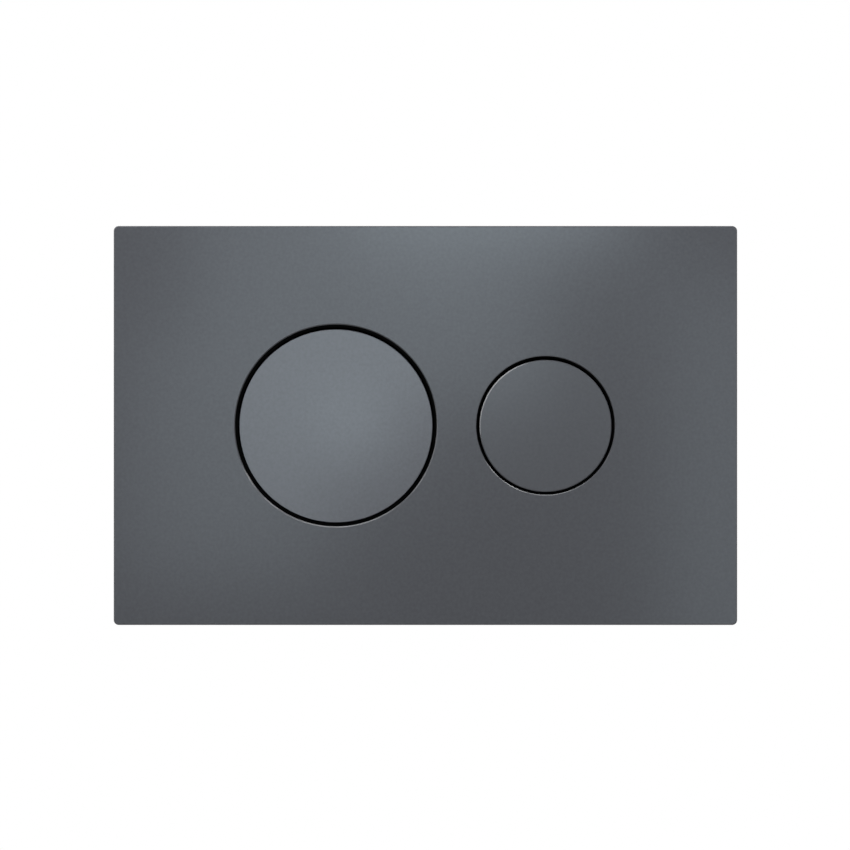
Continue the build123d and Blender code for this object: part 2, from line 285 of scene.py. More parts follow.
# %% The grain group
noise_low, noise_high = 0.3, 0.7
grain = bpy.data.node_groups.new("grain", "ShaderNodeTree")
for input_name, usual in (("Fine scale", 2500.0), ("Broad scale", 60.0)):
    socket = grain.interface.new_socket(input_name, in_out="INPUT", socket_type="NodeSocketFloat")
    socket.default_value = usual
for output_name in ("Fine", "Broad"):
    grain.interface.new_socket(output_name, in_out="OUTPUT", socket_type="NodeSocketFloat")
grain_in = grain.nodes.new("NodeGroupInput")
grain_out = grain.nodes.new("NodeGroupOutput")
grain_place = grain.nodes.new("ShaderNodeTexCoord")
for output_name, detail in (("Fine", 2.0), ("Broad", 3.0)):
    noise = grain.nodes.new("ShaderNodeTexNoise")
    noise.inputs["Detail"].default_value = detail
    spread = grain.nodes.new("ShaderNodeMapRange")
    spread.inputs["From Min"].default_value = noise_low
    spread.inputs["From Max"].default_value = noise_high
    grain.links.new(grain_place.outputs["Object"], noise.inputs["Vector"])
    grain.links.new(grain_in.outputs[output_name + " scale"], noise.inputs["Scale"])
    grain.links.new(noise.outputs["Fac"], spread.inputs["Value"])
    grain.links.new(spread.outputs["Result"], grain_out.inputs[output_name])
print("Grain group outputs:", [item.name for item in grain.interface.items_tree if item.in_out == "OUTPUT"])

# %% [markdown]
# ## Finishes
# A finish is a Principled shader whose colour drifts between two tones with the broad grain, and whose
# roughness and relief follow the fine grain. It could be a flat colour with one roughness, but then a
# large face looks like a drawing. One function wires all of them, and each finish is named for the
# stuff it is made of. Numbers that are the same all over go straight on the shader's sockets.

# %% Wiring a finish
def finish(name, tones, roughness, fine, broad, relief, metallic=0.0, specular=0.5):
    material = bpy.data.materials.new(name)
    material.use_nodes = True
    nodes = material.node_tree.nodes
    links = material.node_tree.links
    shader = nodes["Principled BSDF"]
    shader.inputs["Metallic"].default_value = metallic
    shader.inputs["Specular IOR Level"].default_value = specular
    texture = nodes.new("ShaderNodeGroup")
    texture.node_tree = grain
    texture.inputs["Fine scale"].default_value = fine
    texture.inputs["Broad scale"].default_value = broad
    colour = nodes.new("ShaderNodeMix")
    colour.data_type = "RGBA"
    colour.inputs["A"].default_value = (*tones[0], 1)
    colour.inputs["B"].default_value = (*tones[1], 1)
    gloss = nodes.new("ShaderNodeMapRange")
    gloss.inputs["To Min"].default_value = roughness[0]
    gloss.inputs["To Max"].default_value = roughness[1]
    bump = nodes.new("ShaderNodeBump")
    bump.inputs["Distance"].default_value = relief
    links.new(texture.outputs["Broad"], colour.inputs["Factor"])
    links.new(colour.outputs["Result"], shader.inputs["Base Color"])
    links.new(texture.outputs["Fine"], gloss.inputs["Value"])
    links.new(gloss.outputs["Result"], shader.inputs["Roughness"])
    links.new(texture.outputs["Fine"], bump.inputs["Height"])
    links.new(bump.outputs["Normal"], shader.inputs["Normal"])
    return material


# %% [markdown]
# ## Paint, plastics and metals
# The plate and the buttons are moulded in black plastic and sprayed in a blue-grey satin paint, smooth
# enough to mirror a lamp as a soft cloud. Both buttons are glossier than the plate. The large one's paint
# is a shade lighter, a painted reflection that stands for the brighter sheen of the real button, and the
# small one's paint is a shade darker. Both grains of the paint are about a millimetre wide, which gives
# it a fine mottle. The insides stay bare, and the cups behind the buttons are a dead black that paints
# the deep shade in the gaps. The frame behind them is a spark-textured dark grey, the rods are natural
# white acetal, their heads and the fixing screws are pale nylon, the locknuts are black, and the small
# steel parts are zinc plated or drawn.

# %% Paint
paint_gloss = (0.14, 0.20)
paint_peel = 0.0012 * mm
peel_scale = 1000
mottle_scale = 800


def satin_paint(name, tones, specular):
    return finish(name, tones, paint_gloss, peel_scale, mottle_scale, paint_peel, specular=specular)


plate_paint = satin_paint(
    "satin_plate_paint", tones=((0.055, 0.058, 0.068), (0.067, 0.070, 0.081)), specular=0.44
)
# The large button's lighter tones are a painted reflection, for the brighter sheen of the real button; the
# small button's tones are darker than the plate's.
button_paint = {
    "full": satin_paint(
        "satin_large_button_painted_reflection", tones=((0.064, 0.068, 0.081), (0.077, 0.080, 0.096)), specular=0.65
    ),
    "half": satin_paint(
        "satin_small_button", tones=((0.039, 0.042, 0.052), (0.046, 0.050, 0.061)), specular=0.62
    ),
}
print("Paints:", [paint.name for paint in (plate_paint, *button_paint.values())])

# %% Bare plastics
# Bare black plastic for the backs of the cover and the caps; on the opening walls and the cap skirts it
# also paints the shade in the gaps.
bare_inside_and_gap_shade = finish(
    "bare_black_inside_and_gap_shade", tones=((0.010, 0.010, 0.011), (0.016, 0.016, 0.017)),
    roughness=(0.4, 0.6), fine=1800, broad=60, relief=0.012 * mm,
)
# Painted shade: a near-black, almost unreflecting finish for the button cups, which darkens the gaps round
# the buttons.
painted_shade_black = finish(
    "painted_shade_cup_black", tones=((0.003, 0.003, 0.003), (0.005, 0.005, 0.005)),
    roughness=(0.75, 0.9), fine=1800, broad=60, relief=0.01 * mm, specular=0.05,
)
black_plastic = finish(
    "polished_black_plastic", tones=((0.008, 0.008, 0.009), (0.013, 0.013, 0.014)),
    roughness=(0.24, 0.36), fine=1500, broad=50, relief=0.006 * mm,
)
frame_plastic = finish(
    "spark_grey_plastic", tones=((0.040, 0.043, 0.047), (0.052, 0.055, 0.060)),
    roughness=(0.5, 0.72), fine=1400, broad=40, relief=0.03 * mm,
)
white_acetal = finish(
    "natural_white_acetal", tones=((0.70, 0.70, 0.67), (0.80, 0.80, 0.77)),
    roughness=(0.28, 0.4), fine=900, broad=70, relief=0.006 * mm,
)
pale_nylon = finish(
    "cloudy_pale_nylon", tones=((0.50, 0.50, 0.46), (0.60, 0.60, 0.56)),
    roughness=(0.38, 0.52), fine=1200, broad=90, relief=0.012 * mm,
)
plastics = (bare_inside_and_gap_shade, painted_shade_black, black_plastic, frame_plastic, white_acetal, pale_nylon)
print("Plastics:", [plastic.name for plastic in plastics])

# %% Metals, and dressing a piece
zinc_steel = finish(
    "zinc_plated_steel", tones=((0.50, 0.52, 0.55), (0.66, 0.68, 0.71)),
    roughness=(0.22, 0.42), fine=3000, broad=300, relief=0.004 * mm, metallic=1.0,
)
spring_steel = finish(
    "drawn_spring_steel", tones=((0.36, 0.36, 0.37), (0.50, 0.50, 0.50)),
    roughness=(0.25, 0.45), fine=3500, broad=400, relief=0.004 * mm, metallic=1.0,
)
print("Metals:", [metal.name for metal in (zinc_steel, spring_steel)])


def dress(piece, outside, inside=None, is_inside=None):
    """Gives a piece its finish, and a second one to those faces that pass a test."""
    piece.data.materials.clear()
    piece.data.materials.append(outside)
    for face in piece.data.polygons:
        face.material_index = 0
    if inside is not None:
        piece.data.materials.append(inside)
        for face in piece.data.polygons:
            if is_inside(face.center):
                face.material_index = 1


# %% [markdown]
# ## The cover plate
# The cover is one moulding: a flat face, a skirt round it that stands on the tiles, and two round
# openings. It could be cut from a curve outline, but a block is closer to how the tool is cut: the back
# is inset by the wall and pushed in, then the four corners are rounded. The front edge is broken with one
# flat cut of half a millimetre. A round edge would mirror the white ground behind it and blur the outline.

# %% Hollow block with rounded corners
plate_low, plate_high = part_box("face_plate")
wall_plane = 0.0
plate_wall = 2.4 * mm
plate_corner = 2.0 * mm
plate_edge = 0.5 * mm
plate_face_back = plate_low.y + plate_wall

cover = add_block("cover_plate", plate_low, (plate_high.x, wall_plane, plate_high.z))
open_mesh(cover)
pick("faces", looks_back)
bpy.ops.mesh.inset(thickness=plate_wall)
bpy.ops.mesh.extrude_region_move(TRANSFORM_OT_translate={"value": (0, plate_face_back - wall_plane, 0)})


def is_outer_corner(edge):
    on_corner = [
        plate_high.x - abs(vertex.co.x) < near and plate_high.z - abs(vertex.co.z) < near
        for vertex in edge.verts
    ]
    return all(on_corner) and runs_along_y(edge)


corner_count = pick("edges", is_outer_corner)
bpy.ops.mesh.bevel(offset=plate_corner, segments=8, affect="EDGES")
edge_count = pick("edges", lambda edge: at_depth(edge, plate_low.y))
bpy.ops.mesh.bevel(offset=plate_edge, segments=1, affect="EDGES")
close_mesh()
print("Corners rounded:", corner_count, "and front edges broken:", edge_count)

# %% [markdown]
# The openings are cut with two round bars, as the core pins of the mould shape them. Their front edges
# are broken too, with one flat cut that mirrors the light from above: that is the thin bright line along
# the lower half of each opening. A bevel cuts at 45 degrees, so the inner edge of the cut is then drawn
# forward, which makes it shallower. Both the gap to the button and the cut are wider at the large one.

# %% The two openings
button_gap = {"full": 1.8 * mm, "half": 1.35 * mm}
opening_edge = {"full": 0.40 * mm, "half": 0.23 * mm}
opening_edge_depth = {"full": 0.265 * mm, "half": 0.152 * mm}
round_sides = 192
cap_box = {size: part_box(f"{size}_button_cap") for size in button_gap}
button_x = {size: (low.x + high.x) / 2 for size, (low, high) in cap_box.items()}
button_radius = {size: (high.x - low.x) / 2 for size, (low, high) in cap_box.items()}
opening_radius = {size: button_radius[size] + gap for size, gap in button_gap.items()}


def is_on_wall(edge, size, depth):
    """An edge that runs round the wall of an opening, so far behind the plate's face."""
    off_wall = [distance_from(vertex.co, button_x[size], 0) - opening_radius[size] for vertex in edge.verts]
    return max(map(abs, off_wall)) < near and at_depth(edge, plate_low.y + depth)


for size in button_gap:
    pin = add_bar(
        "core_pin", button_x[size], 0, plate_low.y - overcut, plate_face_back + overcut,
        opening_radius[size], round_sides,
    )
    combine(cover, pin, "DIFFERENCE")
    open_mesh(cover)
    rim_count = pick("edges", lambda edge: is_on_wall(edge, size, 0))
    bpy.ops.mesh.bevel(offset=opening_edge[size], segments=1, affect="EDGES")
    pick("edges", lambda edge: is_on_wall(edge, size, opening_edge[size]))
    bpy.ops.transform.translate(value=(0, opening_edge_depth[size] - opening_edge[size], 0))
    close_mesh()
    print(f"Opening of the {size} button: {2 * opening_radius[size] / mm:.1f} mm, {rim_count} rim edges")

# %% [markdown]
# Behind the face, a frame of low ribs keeps it flat, six posts take the carrier's screws and four
# tongues reach back through the wall opening to carry the clips. A post is an eight-sided bar with its
# end inset and pushed in for the pilot hole. It is modelled once and copied to the five other places.
# All of it is joined and grown onto the cover in one union.

# %% Ribs and screw posts
sink = 0.5 * mm
rib_inset = 8.0 * mm
rib_thickness = 1.4 * mm
rib_height = 3.0 * mm
rib_x = plate_high.x - plate_wall - rib_inset
rib_z = plate_high.z - plate_wall - rib_inset
rib_start = plate_face_back - sink
rib_end = plate_face_back + rib_height
backing = []
for side in (-1, 1):
    middle = side * rib_z
    low = (-rib_x, rib_start, middle - rib_thickness / 2)
    high = (rib_x, rib_end, middle + rib_thickness / 2)
    backing.append(add_block("long_rib", low, high))
    middle = side * rib_x
    low = (middle - rib_thickness / 2, rib_start, -rib_z)
    high = (middle + rib_thickness / 2, rib_end, rib_z)
    backing.append(add_block("short_rib", low, high))

screw_low, screw_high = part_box("carrier_screws")
screw_head_radius = 2.8 * mm
screw_z = screw_high.z - screw_head_radius
land_middle = (cap_box["full"][1].x + cap_box["half"][0].x) / 2
screw_columns = (screw_low.x + screw_head_radius, land_middle, screw_high.x - screw_head_radius)
screw_places = [(x, z) for x in screw_columns for z in (-screw_z, screw_z)]

post_sides = 8
post_radius = 3.2 * mm
post_height = 4.0 * mm
pilot_radius = 1.3 * mm
pilot_depth = 3.5 * mm
first_x, first_z = screw_places[0]
post = add_bar(
    "screw_post", first_x, first_z, rib_start, plate_face_back + post_height, post_radius, post_sides
)
open_mesh(post)
pick("faces", looks_back)
bpy.ops.mesh.inset(thickness=(post_radius - pilot_radius) * math.cos(math.pi / post_sides))
bpy.ops.mesh.extrude_region_move(TRANSFORM_OT_translate={"value": (0, -pilot_depth, 0)})
close_mesh()
backing.append(post)
for x, z in screw_places[1:]:
    backing.append(copy_to(post, (x - first_x, 0, z - first_z)))
print("Ribs and posts:", len(backing))

# %% Tongues, and the finished cover
clip_strip = 0.5 * mm
tongue_thickness = 2.4 * mm
for clip_node in ("top_left_clip", "top_right_clip"):
    clip_low, clip_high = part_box(clip_node)
    tongue_inner = clip_low.z + clip_strip
    tongue_end = clip_high.y - clip_strip
    for side in (-1, 1):
        heights = sorted((side * tongue_inner, side * (tongue_inner + tongue_thickness)))
        low = (clip_low.x, rib_start, heights[0])
        high = (clip_high.x, tongue_end, heights[1])
        backing.append(add_block("tongue", low, high))

combine(cover, join("backing", backing), "UNION", tool_crosses_itself=True)
inner_x = plate_high.x - plate_wall
inner_z = plate_high.z - plate_wall


def is_bare_shaded_opening_wall(point):
    """The wall of an opening, behind its broken edge, where the spray does not reach; its bare black also
    paints the shade in the gap.
    """
    on_wall = [
        abs(distance_from(point, button_x[size], 0) - radius) < 2 * near
        and point.y > plate_low.y + opening_edge_depth[size]
        for size, radius in opening_radius.items()
    ]
    return any(on_wall)


def is_inside_cover(point):
    behind = point.y > plate_face_back - near
    in_shell = behind and abs(point.x) < inner_x + near and abs(point.z) < inner_z + near
    return in_shell or is_bare_shaded_opening_wall(point)


dress(cover, plate_paint, bare_inside_and_gap_shade, is_inside_cover)
smooth(cover)
stand_for(cover, "face_plate")

# %% [markdown]
# ## The button caps
# Each cap is a shallow painted cup, flush with the plate, with a skirt that hides the works when the
# button is pressed. It starts as a round bar of 192 sides, so that its rim stays a clean circle close up.
# Its back is inset by the wall and pushed in. The front edge could be rounded with a bevel, but here its
# slope matters: the face is drawn back and inset with a depth, which makes a flat sloping ring. That of
# the small button is wider and not as steep, and catches the thin light round its upper left. The paint
# ends behind this edge and the skirt stays bare black plastic, which also paints the shade in the gap.

# %% Caps from round bars
cap_wall = 2.0 * mm
cap_edge_width = {"full": 0.2 * mm, "half": 0.4 * mm}
cap_edge_depth = {"full": 0.2 * mm, "half": 0.335 * mm}
cap_crease = 25


def button_cap(size):
    low, high = cap_box[size]
    x = button_x[size]
    z = (low.z + high.z) / 2
    cap = add_bar(f"{size}_cap", x, z, low.y, high.y, button_radius[size], round_sides)
    open_mesh(cap)
    pick("faces", looks_back)
    bpy.ops.mesh.inset(thickness=cap_wall)
    bpy.ops.mesh.extrude_region_move(TRANSFORM_OT_translate={"value": (0, low.y + cap_wall - high.y, 0)})
    pick("faces", looks_forward)
    bpy.ops.transform.translate(value=(0, cap_edge_depth[size], 0))
    bpy.ops.mesh.inset(thickness=cap_edge_width[size], depth=cap_edge_depth[size])
    close_mesh()

    # Behind its front edge the cap stays bare black plastic, which also paints the shade in the gap round
    # it.
    def is_bare_shaded_behind_edge(point):
        return point.y > low.y + cap_edge_depth[size]

    dress(cap, button_paint[size], bare_inside_and_gap_shade, is_bare_shaded_behind_edge)
    smooth(cap, cap_crease)
    stand_for(cap, f"{size}_button_cap")


for size in button_gap:
    button_cap(size)

# %% [markdown]
# ## The mouldings behind the face
# The carrier with its two cups, the bases with their plungers and snap legs, and the mounting frame are
# ribbed mouldings. They could be built again from blocks, but their solids already hold every wall in
# its place, so each is a copy of its solid. The copy's loose triangles are merged and dissolved into
# whole faces, and a Bevel modifier gives the edges the small round that a mould always leaves.

# %% Copies with moulded edges
weld_distance = 0.001 * mm
flat_angle = math.radians(0.5)
sharp_angle = math.radians(40)
mould_crease = 35


def moulded_copy(node, name, edge_round, material, second=None, is_second=None):
    copy = bpy.data.objects.new(name, frame["nodes"][node].data.copy())
    bpy.context.scene.collection.objects.link(copy)
    open_mesh(copy)
    bpy.ops.mesh.customdata_custom_splitnormals_clear()
    bpy.ops.mesh.select_all(action="SELECT")
    bpy.ops.mesh.remove_doubles(threshold=weld_distance)
    bpy.ops.mesh.dissolve_limited(angle_limit=flat_angle)
    close_mesh()
    step = copy.modifiers.new("mould round", "BEVEL")
    step.width = edge_round
    step.segments = 2
    step.limit_method = "ANGLE"
    step.angle_limit = sharp_angle
    bpy.ops.object.modifier_apply(modifier=step.name)
    dress(copy, material, second, is_second)
    smooth(copy, mould_crease)
    stand_for(copy, node)


# %% Carrier, bases and frame
works_round = 0.25 * mm
frame_round = 0.35 * mm
carrier_front = plate_face_back + post_height - near
cup_clearance = 0.8 * mm
past_cup_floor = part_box("full_button_spring")[1].y + cup_clearance


def is_in_painted_shade_cup(point):
    """The cups' outsides in front of the carrier's own plate, and their walls and floors, which take the
    dead black of painted shade.
    """
    within = [
        distance_from(point, button_x[size], 0) < radius + cup_clearance + near
        for size, radius in button_radius.items()
    ]
    return point.y < carrier_front or (any(within) and point.y < past_cup_floor)


# The cups get the dead black of painted shade; the rest of the carrier stays polished black plastic.
moulded_copy("button_carrier", "carrier_tray", works_round, black_plastic, painted_shade_black, is_in_painted_shade_cup)
moulded_copy("full_button_base", "full_base", works_round, black_plastic)
moulded_copy("half_button_base", "half_base", works_round, black_plastic)
moulded_copy("mounting_frame", "wall_frame", frame_round, frame_plastic)

# %% [markdown]
# ## Return springs
# A compression spring is a round wire wound on a mandrel, with its last turn at each end closed so that
# it stands flat. A circle of wire is set beside the axis and the Screw modifier winds it. The rings of
# the wire are then slid along the axis, because the modifier winds at one pitch and the end turns lie
# close. What both buttons have alike, as here, is modelled once for the large button and copied to the
# small one.

# %% Winding the springs
wire_diameter = 1.2 * mm
wire_sides = 10
coil_radius = 15.5 * mm
coil_turns = 6
coil_steps = 40
close_turn = 1.05 * wire_diameter
wire_crease = 50


def closed_end_depth(turn, length):
    """How far along the axis the wire is after so many turns, with one close turn at each end."""
    open_turn = (length - wire_diameter - 2 * close_turn) / (coil_turns - 2)
    if turn < 1:
        return turn * close_turn
    if turn > coil_turns - 1:
        return length - wire_diameter - (coil_turns - turn) * close_turn
    return close_turn + (turn - 1) * open_turn


def wind_spring(name, x, low, high):
    length = high.y - low.y
    let_go()
    bpy.ops.mesh.primitive_circle_add(
        vertices=wire_sides,
        radius=wire_diameter / 2,
        location=(x, low.y + wire_diameter / 2, (low.z + high.z) / 2),
    )
    spring = bpy.context.object
    spring.name = name
    open_mesh(spring)
    bpy.ops.mesh.select_all(action="SELECT")
    bpy.ops.transform.translate(value=(coil_radius, 0, 0))
    close_mesh()
    step = spring.modifiers.new("wind", "SCREW")
    step.axis = "Y"
    step.iterations = coil_turns
    step.steps = coil_steps
    step.render_steps = coil_steps
    pitch = (length - wire_diameter) / coil_turns
    step.screw_offset = pitch
    bpy.ops.object.modifier_apply(modifier=step.name)
    for vertex in spring.data.vertices:
        turn = (vertex.index // wire_sides) / coil_steps
        vertex.co.y += closed_end_depth(turn, length) - turn * pitch
    open_mesh(spring)
    bpy.ops.mesh.select_all(action="SELECT")
    bpy.ops.mesh.fill_holes(sides=0)
    bpy.ops.mesh.select_all(action="SELECT")
    bpy.ops.mesh.normals_make_consistent(inside=False)
    close_mesh()
    apply_place()
    dress(spring, spring_steel)
    smooth(spring, wire_crease)
    return spring


def tie_pair(piece, name, node):
    """Copies a piece of the full button to the half button's side, and ties both to their solids."""
    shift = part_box(f"half_{node}")[0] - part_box(f"full_{node}")[0]
    pair = {"full": piece, "half": copy_to(piece, shift)}
    for size, one in pair.items():
        one.name = f"{size}_{name}"
        stand_for(one, f"{size}_{node}")
    return pair


spring_low, spring_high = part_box("full_button_spring")
spring = wind_spring("full_spring", button_x["full"], spring_low, spring_high)
for size, piece in tie_pair(spring, "spring", "button_spring").items():
    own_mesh(piece)

# %% [markdown]
# ## Threads
# The rods and the shanks of all screws are threaded. A thread can be faked with bump, but it shows in
# outline here, so it is geometry: one tooth is drawn as a line, by extruding a single vertex out, along
# and back, and the Screw modifier sweeps it round the axis at one pitch per turn. Flank and land are
# shares of the pitch. The turns are welded, and two bisect cuts with filled ends bring the bar to its
# length.

# %% A threaded bar
thread_steps = 28
thread_flank = 0.3
thread_land = 0.2
thread_weld = 0.002 * mm


def threaded_bar(name, x, z, front, back, radius, pitch, tooth):
    let_go()
    bpy.ops.mesh.primitive_plane_add(size=mm, location=(x, front - pitch, z))
    bar = bpy.context.object
    bar.name = name
    open_mesh(bar)
    bpy.context.tool_settings.mesh_select_mode = (True, False, False)
    bpy.ops.mesh.select_all(action="SELECT")
    bpy.ops.mesh.merge(type="CENTER")
    bpy.ops.transform.translate(value=(radius - tooth, 0, 0))
    tooth_line = ((tooth, thread_flank), (0, thread_land), (-tooth, thread_flank), (0, thread_land))
    for outwards, along in tooth_line:
        bpy.ops.mesh.extrude_vertices_move(
            TRANSFORM_OT_translate={"value": (outwards, along * pitch, 0)}
        )
    close_mesh()
    step = bar.modifiers.new("thread", "SCREW")
    step.axis = "Y"
    step.iterations = math.ceil((back - front) / pitch) + 2
    step.steps = thread_steps
    step.render_steps = thread_steps
    step.screw_offset = pitch
    bpy.ops.object.modifier_apply(modifier=step.name)
    open_mesh(bar)
    bpy.ops.mesh.select_all(action="SELECT")
    bpy.ops.mesh.remove_doubles(threshold=thread_weld)
    for depth, outside in ((front, "inner"), (back, "outer")):
        bpy.ops.mesh.select_all(action="SELECT")
        bpy.ops.mesh.bisect(
            plane_co=(x, depth, z),
            plane_no=(0, 1, 0),
            threshold=near / 10,
            use_fill=True,
            clear_inner=outside == "inner",
            clear_outer=outside == "outer",
        )
    bpy.ops.mesh.select_all(action="SELECT")
    bpy.ops.mesh.normals_make_consistent(inside=False)
    close_mesh()
    apply_place()
    return bar


# %% [markdown]
# ## Push rods
# Each button pushes a white rod whose far end meets a lever of the flush valve. On the real thing the
# fitter cuts or turns the rod to length, so it is threaded all along. The pitch is coarse, as on plastic
# threads.

# %% The two rods
rod_pitch = 2.0 * mm
rod_tooth = 0.6 * mm
rod_low, rod_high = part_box("full_push_rod")
rod_x = (rod_low.x + rod_high.x) / 2
rod_radius = (rod_high.x - rod_low.x) / 2
rod = threaded_bar("full_rod", rod_x, 0, rod_low.y, rod_high.y, rod_radius, rod_pitch, rod_tooth)
dress(rod, white_acetal)
smooth(rod)
tie_pair(rod, "rod", "push_rod")

# %% [markdown]
# ## Rod heads
# The plunger of a button presses on a blind eight-sided head that is turned on the rod to take up the
# play. It starts as an eight-sided bar. The back is inset and pushed in for the rod, the corners are
# rounded for the fingers, and each flat is inset once more and sunk a little, as a grip.

# %% Eight-sided heads
head_sides = 8
head_wall = 1.5 * mm
head_bore = 3.05 * mm
head_round = 0.4 * mm
grip_border = 0.7 * mm
grip_depth = 0.25 * mm
smallest_flat = 4 * mm * mm

head_low, head_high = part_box("full_rod_head")
head_radius = (head_high.x - head_low.x) / 2
half_flats = head_radius * math.cos(math.pi / head_sides)


def is_outside_head(edge):
    return all(distance_from(vertex.co, rod_x, 0) > half_flats for vertex in edge.verts)


def is_grip_flat(face):
    centre = face.calc_center_median()
    outwards = (centre.x - rod_x) * face.normal.x + centre.z * face.normal.z
    on_side = abs(face.normal.y) < 1 - square_on and outwards > square_on * half_flats
    return on_side and face.calc_area() > smallest_flat


head = add_bar("full_head", rod_x, 0, head_low.y, head_high.y, head_radius, head_sides)
open_mesh(head)
pick("faces", looks_back)
bpy.ops.mesh.inset(thickness=half_flats - head_bore)
bpy.ops.mesh.extrude_region_move(
    TRANSFORM_OT_translate={"value": (0, head_low.y + head_wall - head_high.y, 0)}
)
pick("edges", is_outside_head)
bpy.ops.mesh.bevel(offset=head_round, segments=3, affect="EDGES")
flat_count = pick("faces", is_grip_flat)
bpy.ops.mesh.inset(thickness=grip_border, depth=-grip_depth, use_individual=True)
close_mesh()
dress(head, pale_nylon)
smooth(head)
tie_pair(head, "head", "rod_head")
print("Grip flats:", flat_count)

# %% [markdown]
# ## Six-sided nuts and heads
# A nut's corners are turned off on both faces, which leaves the curved edge that everyone knows. It
# comes from two shapes: a six-sided bar, and a round bar with its ends bevelled. What lies in both is
# the nut, so a Boolean that keeps the intersection makes it in one step. The bore is cut with a third bar.

# %% Locknuts behind the rod heads
hex_sides = 6
hex_turn = math.pi / 2
turned_sides = 96
nut_bore = 3.05 * mm


def six_sided(name, x, front, back, across_flats):
    corner = across_flats / 2 / math.cos(math.pi / hex_sides)
    piece = add_bar(name, x, 0, front, back, corner, hex_sides, hex_turn)
    turned = add_bar("turned_bar", x, 0, front, back, corner + near, turned_sides)
    open_mesh(turned)
    pick("edges", lambda edge: at_depth(edge, front) or at_depth(edge, back))
    bpy.ops.mesh.bevel(offset=corner - across_flats / 2, segments=1, affect="EDGES")
    close_mesh()
    combine(piece, turned, "INTERSECT")
    return piece


nut_low, nut_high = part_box("full_rod_locknut")
nut = six_sided("full_locknut", rod_x, nut_low.y, nut_high.y, nut_high.z - nut_low.z)
bore = add_bar("bore", rod_x, 0, nut_low.y - overcut, nut_high.y + overcut, nut_bore, turned_sides)
combine(nut, bore, "DIFFERENCE")
dress(nut, black_plastic)
smooth(nut)
tie_pair(nut, "locknut", "rod_locknut")

# %% [markdown]
# ## Fixing screws
# Two plastic screws pull the frame against the cistern. Each has a six-sided head with a slot for a
# screwdriver, a plain neck in the strap's slot, and a thread behind it. The head is the nut's shape
# without a bore. One screw is modelled, and the other is its copy.

# %% One screw and its copy
fixing_head_flats = 13.0 * mm
fixing_head_height = 4.5 * mm
fixing_neck = 2.6 * mm
fixing_neck_length = 4.0 * mm
fixing_radius = 2.5 * mm
fixing_pitch = 1.5 * mm
fixing_tooth = 0.45 * mm
driver_slot_width = 1.6 * mm
driver_slot_depth = 2.0 * mm
neck_sides = 32

fixing_low, fixing_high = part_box("fixing_screws")
fixing_corner = fixing_head_flats / 2 / math.cos(math.pi / hex_sides)
fixing_x = fixing_high.x - fixing_corner
strap_face = fixing_low.y + fixing_head_height
neck_end = strap_face + fixing_neck_length

screw = six_sided("fixing_pair", fixing_x, fixing_low.y, strap_face, fixing_head_flats)
slot_reach = fixing_corner + overcut
slot_low = (fixing_x - slot_reach, fixing_low.y - overcut, -driver_slot_width / 2)
slot_high = (fixing_x + slot_reach, fixing_low.y + driver_slot_depth, driver_slot_width / 2)
combine(screw, add_block("driver_slot", slot_low, slot_high), "DIFFERENCE")
neck = add_bar("neck", fixing_x, 0, strap_face - overcut, neck_end, fixing_neck, neck_sides)
combine(screw, neck, "UNION")
thread = threaded_bar(
    "thread", fixing_x, 0, neck_end - overcut, fixing_high.y, fixing_radius, fixing_pitch, fixing_tooth
)
combine(screw, thread, "UNION")
screw = join("fixing_pair", [screw, copy_to(screw, (-2 * fixing_x, 0, 0))])
dress(screw, pale_nylon)
smooth(screw)
stand_for(screw, "fixing_screws")

# %% [markdown]
# ## Carrier screws
# Six small zinc-plated screws hold the carrier on the cover's posts. A pan head is a round bar with a
# wide bevel on its outer edge, and the cross recess is two crossed blocks whose deep ends are drawn in,
# as the driver bit is. The shank has a steep thread that cuts its own way into plastic.

# %% A pan head with a cross recess
screw_head_height = 1.9 * mm
screw_head_round = 1.3 * mm
pan_sides = 40
screw_shank = 1.25 * mm
screw_pitch = 0.9 * mm
screw_tooth = 0.3 * mm
recess_reach = 1.7 * mm
recess_width = 0.7 * mm
recess_depth = 1.2 * mm
recess_taper = 0.55

head_back = screw_high.y
head_front = head_back - screw_head_height
pan_head = add_bar(
    "carrier_screw_set", first_x, first_z, head_front, head_back, screw_head_radius, pan_sides
)
open_mesh(pan_head)
pick("edges", lambda edge: at_depth(edge, head_back))
bpy.ops.mesh.bevel(offset=screw_head_round, segments=5, affect="EDGES")
close_mesh()

for reach_x, reach_z in ((recess_reach, recess_width / 2), (recess_width / 2, recess_reach)):
    low = (first_x - reach_x, head_back - recess_depth, first_z - reach_z)
    high = (first_x + reach_x, head_back + overcut, first_z + reach_z)
    blade = add_block("recess_blade", low, high)
    open_mesh(blade)
    pick("faces", looks_forward)
    bpy.ops.transform.resize(
        value=(recess_taper, 1, recess_taper), center_override=(first_x, low[1], first_z)
    )
    close_mesh()
    combine(pan_head, blade, "DIFFERENCE")
print("Pan head with recess:", len(pan_head.data.polygons), "faces")

# %% Shank, and copies in all six places
shank_overlap = 0.3 * mm
shank_end = head_front + shank_overlap
shank = threaded_bar(
    "shank", first_x, first_z, screw_low.y, shank_end, screw_shank, screw_pitch, screw_tooth
)
combine(pan_head, shank, "UNION")
screw_set = [pan_head]
for x, z in screw_places[1:]:
    screw_set.append(copy_to(pan_head, (x - first_x, 0, z - first_z)))
screws = join("carrier_screw_set", screw_set)
dress(screws, zinc_steel)
smooth(screws)
stand_for(screws, "carrier_screws")

# %% [markdown]
# ## Clips
# Four folded steel strips grip the cover's tongues, and their bulges spring into windows of the frame.
# A strip is a plane whose far edge is extruded from fold to fold. The folds are rounded by bevelling
# their edges, and Solidify gives the sheet its thickness. The top left one is modelled, copied to the
# right, and half a turn about the plate's axis brings both copies to the bottom.

